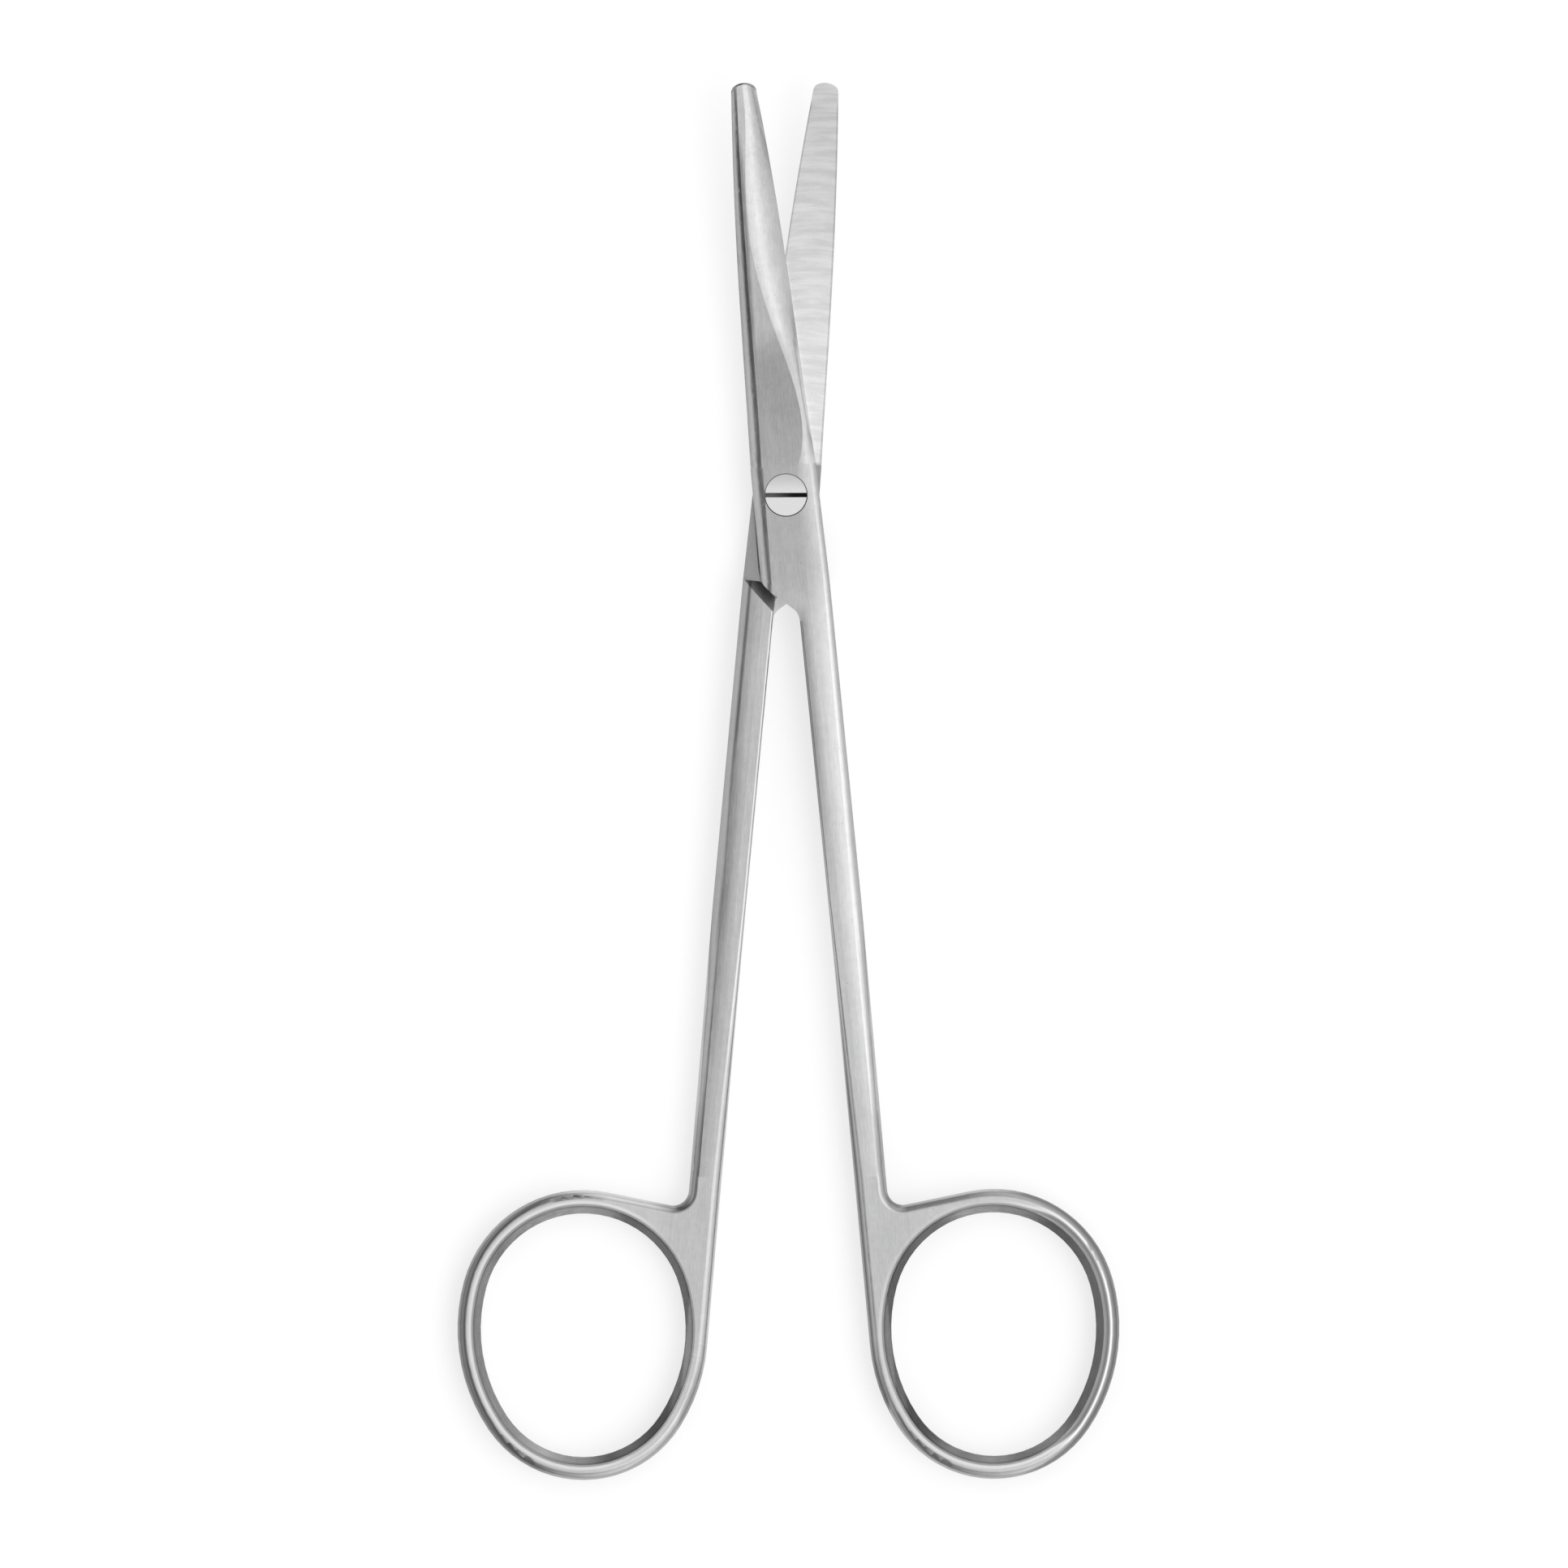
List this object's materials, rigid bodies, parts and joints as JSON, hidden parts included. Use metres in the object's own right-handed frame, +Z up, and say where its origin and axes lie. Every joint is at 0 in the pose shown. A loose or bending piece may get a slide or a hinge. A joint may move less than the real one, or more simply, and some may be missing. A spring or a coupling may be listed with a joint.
{
  "type": "dissecting scissors",
  "caption": "Curved dissecting scissors with slender ground blades, long straight shanks, oval finger rings and a slotted screw lap joint, shown slightly open.",
  "frame": {"origin": "on the screw axis, at the underside of the lap joint, which is the part's lowest face when it lies flat", "axes": "+Z up along the screw axis toward the slotted head, +Y toward the blade tips, +X to the right of the user who holds the rings"},
  "size_m": [0.068, 0.1433, 0.0086],
  "materials": {
    "satin_steel": "satin ground stainless steel, brushed lengthwise",
    "polished_steel": "bright turned stainless steel"
  },
  "bodies": {
    "lower": {"lower_half": "satin_steel", "joint_screw": "polished_steel"},
    "upper": {"upper_half": "satin_steel"}
  },
  "joints": [
    {"name": "blade_pivot", "type": "hinge", "parent": "lower", "child": "upper", "pos_m": [0, 0, 0.002], "axis": [0, 0, 1], "range_deg": [-10.9, 128]}
  ]
}
